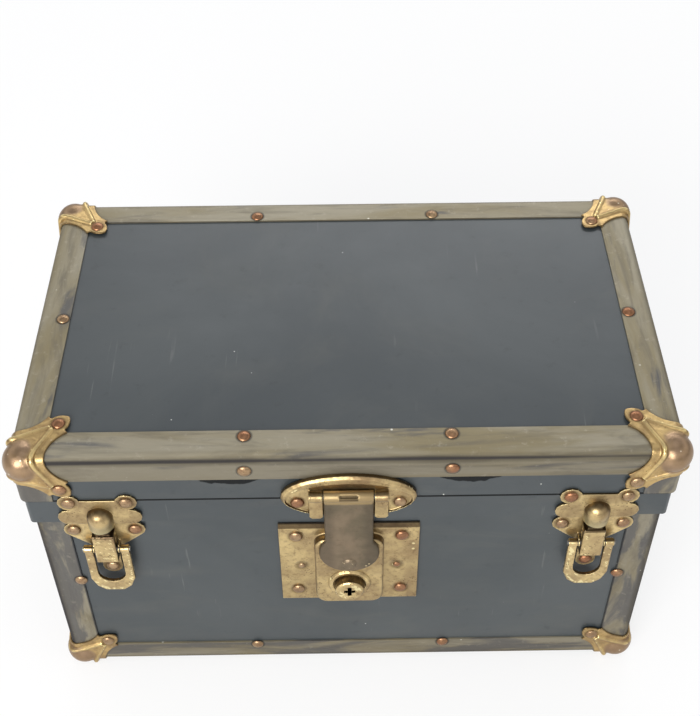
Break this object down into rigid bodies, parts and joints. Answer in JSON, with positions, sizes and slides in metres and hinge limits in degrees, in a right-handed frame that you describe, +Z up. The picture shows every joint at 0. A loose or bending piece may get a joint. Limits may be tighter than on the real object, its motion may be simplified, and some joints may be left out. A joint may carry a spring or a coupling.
{
  "type": "small tin trunk",
  "caption": "Low rectangular tin-covered trunk with metal-bound edges, capped corners, a hinged lid, a hasp lock, draw bolts and end handles, for keeping papers and small things.",
  "frame": {"origin": "centre of the footprint, on the level that the four bottom corner caps stand on", "axes": "+X to the right as seen from the front, -Y towards the front with the lock, +Z up"},
  "size_m": [0.314, 0.1937, 0.1772],
  "materials": {
    "board": "planed softwood, bare inside",
    "enamel": "worn satin blue-black enamel on sheet steel",
    "binding": "brass-washed steel, worn and tarnished",
    "cap_brass": "pressed brass-plated steel, worn brown on the bosses",
    "brass_plate": "pressed brass-plated steel, lightly pitted",
    "hasp_metal": "dull brown-grey where the plating has worn",
    "copper_rivet": "copper-plated rivet heads, tarnished",
    "steel_pin": "plain steel wire"
  },
  "bodies": {
    "trunk_body": {"bottom_board": "board", "front_board": "board", "back_board": "board", "left_board": "board", "right_board": "board", "front_panel": "enamel", "back_panel": "enamel", "left_panel": "enamel", "right_panel": "enamel", "bottom_panel": "enamel", "body_corner_bindings": "binding", "bottom_bindings": "binding", "bottom_corner_caps": "cap_brass", "body_rivets": "copper_rivet", "body_hardware_rivets": "copper_rivet", "lock_plate": "brass_plate", "lock_collar": "brass_plate", "hinge_body_leaves": "brass_plate", "hinge_pins": "steel_pin", "left_base_plate": "brass_plate", "right_base_plate": "brass_plate", "draw_bolt_pins": "steel_pin", "handle_plates": "brass_plate"},
    "lid": {"lid_top_board": "board", "lid_front_board": "board", "lid_back_board": "board", "lid_left_board": "board", "lid_right_board": "board", "lid_top_panel": "enamel", "lid_front_panel": "enamel", "lid_back_panel": "enamel", "lid_left_panel": "enamel", "lid_right_panel": "enamel", "front_band": "enamel", "left_band": "enamel", "right_band": "enamel", "lid_front_binding": "binding", "lid_back_binding": "binding", "lid_left_binding": "binding", "lid_right_binding": "binding", "lid_corner_bindings": "binding", "lid_corner_caps": "cap_brass", "lid_rivets": "copper_rivet", "lid_hardware_rivets": "copper_rivet", "hinge_lid_leaves": "brass_plate", "hasp_plate": "brass_plate", "hasp_pin": "steel_pin", "left_catch_plate": "brass_plate", "right_catch_plate": "brass_plate"},
    "hasp": {"hasp": "hasp_metal", "hasp_staple": "hasp_metal"},
    "key_plug": {"key_plug": "brass_plate", "lock_cam": "steel_pin"},
    "left_lever": {"left_lever": "brass_plate"},
    "right_lever": {"right_lever": "brass_plate"},
    "left_bolt": {"left_bolt": "brass_plate"},
    "right_bolt": {"right_bolt": "brass_plate"},
    "left_handle": {"left_handle": "brass_plate"},
    "right_handle": {"right_handle": "brass_plate"}
  },
  "joints": [
    {"name": "lid_hinge", "type": "hinge", "parent": "trunk_body", "child": "lid", "pos_m": [0, 0.0926, 0.1355], "axis": [-1, 0, 0], "range_deg": [0, 105]},
    {"name": "hasp_hinge", "type": "hinge", "parent": "lid", "child": "hasp", "pos_m": [0, -0.0949, 0.151], "axis": [-1, 0, 0], "range_deg": [0, 165]},
    {"name": "key_turn", "type": "hinge", "parent": "trunk_body", "child": "key_plug", "pos_m": [0, -0.095, 0.0795], "axis": [0, -1, 0], "range_deg": [0, 90]},
    {"name": "left_lever_hinge", "type": "hinge", "parent": "trunk_body", "child": "left_lever", "pos_m": [-0.1165, -0.0924, 0.11], "axis": [-1, 0, 0], "range_deg": [0, 110]},
    {"name": "right_lever_hinge", "type": "hinge", "parent": "trunk_body", "child": "right_lever", "pos_m": [0.1165, -0.0924, 0.11], "axis": [-1, 0, 0], "range_deg": [0, 110]},
    {"name": "left_bolt_slide", "type": "slide", "parent": "trunk_body", "child": "left_bolt", "axis": [0, 0, -1], "range_m": [0, 0.007]},
    {"name": "right_bolt_slide", "type": "slide", "parent": "trunk_body", "child": "right_bolt", "axis": [0, 0, -1], "range_m": [0, 0.007]},
    {"name": "left_handle_hinge", "type": "hinge", "parent": "trunk_body", "child": "left_handle", "pos_m": [-0.1533, 0.00155, 0.1], "axis": [0, 1, 0], "range_deg": [0, 120]},
    {"name": "right_handle_hinge", "type": "hinge", "parent": "trunk_body", "child": "right_handle", "pos_m": [0.1533, 0.00155, 0.1], "axis": [0, -1, 0], "range_deg": [0, 120]}
  ],
  "couplings": [
    {"joint": "left_bolt_slide", "follows": "left_lever_hinge", "m_per_rad": 0.003646},
    {"joint": "right_bolt_slide", "follows": "right_lever_hinge", "m_per_rad": 0.003646}
  ]
}
